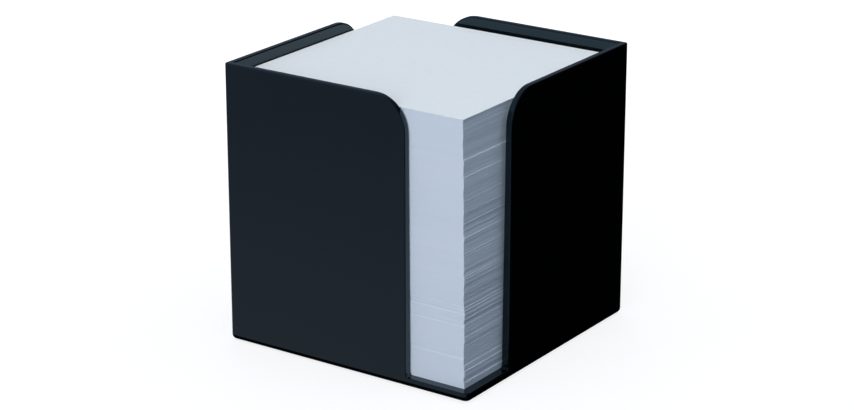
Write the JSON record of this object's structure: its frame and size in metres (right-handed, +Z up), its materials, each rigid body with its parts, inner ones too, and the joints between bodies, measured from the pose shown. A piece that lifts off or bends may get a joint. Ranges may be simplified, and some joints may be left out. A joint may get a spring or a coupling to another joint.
{
  "type": "note paper box",
  "caption": "Square glossy black desk box, open on top and at opposite upright corners, filled with a stack of loose white note sheets.",
  "frame": {"origin": "on the floor, under the centre of the box", "axes": "+Z up; -Y is the front wall and +X the right-hand wall; the open corners are at (+X, -Y) and (-X, +Y)"},
  "size_m": [0.097, 0.097, 0.0982],
  "materials": {
    "moulded_black": "glossy injection moulding",
    "note_paper": "uncoated cut sheets"
  },
  "bodies": {
    "moulded_box": {"note_box": "moulded_black"},
    "lower_notes": {"sheaf_01": "note_paper", "sheaf_02": "note_paper", "sheaf_03": "note_paper", "sheaf_04": "note_paper", "sheaf_05": "note_paper", "sheaf_06": "note_paper", "sheaf_07": "note_paper", "sheaf_08": "note_paper", "sheaf_09": "note_paper", "sheaf_10": "note_paper", "sheaf_11": "note_paper", "sheaf_12": "note_paper", "sheaf_13": "note_paper", "sheaf_14": "note_paper", "sheaf_15": "note_paper", "sheaf_16": "note_paper", "sheaf_17": "note_paper", "sheaf_18": "note_paper", "sheaf_19": "note_paper", "sheaf_20": "note_paper", "sheaf_21": "note_paper", "sheaf_22": "note_paper", "sheaf_23": "note_paper"},
    "upper_notes": {"sheaf_24": "note_paper", "sheaf_25": "note_paper", "sheaf_26": "note_paper", "sheaf_27": "note_paper", "sheaf_28": "note_paper", "sheaf_29": "note_paper", "sheaf_30": "note_paper", "sheaf_31": "note_paper", "sheaf_32": "note_paper", "sheaf_33": "note_paper", "sheaf_34": "note_paper", "sheaf_35": "note_paper", "sheaf_36": "note_paper", "sheaf_37": "note_paper", "sheaf_38": "note_paper", "sheaf_39": "note_paper", "sheaf_40": "note_paper", "sheaf_41": "note_paper", "sheaf_42": "note_paper", "sheaf_43": "note_paper", "sheaf_44": "note_paper", "sheaf_45": "note_paper", "sheet_01": "note_paper", "sheet_02": "note_paper", "sheet_03": "note_paper", "sheet_04": "note_paper", "sheet_05": "note_paper", "sheet_06": "note_paper", "sheet_07": "note_paper", "sheet_08": "note_paper", "sheet_09": "note_paper"},
    "top_note": {"top_sheet": "note_paper"}
  },
  "joints": [
    {"name": "lower_notes_lift", "type": "slide", "parent": "moulded_box", "child": "lower_notes", "axis": [0, 0, 1], "range_m": [0, 0.1]},
    {"name": "upper_notes_lift", "type": "slide", "parent": "lower_notes", "child": "upper_notes", "axis": [0, 0, 1], "range_m": [0, 0.055]},
    {"name": "top_note_lift", "type": "slide", "parent": "upper_notes", "child": "top_note", "axis": [0, 0, 1], "range_m": [0, 0.03]}
  ]
}
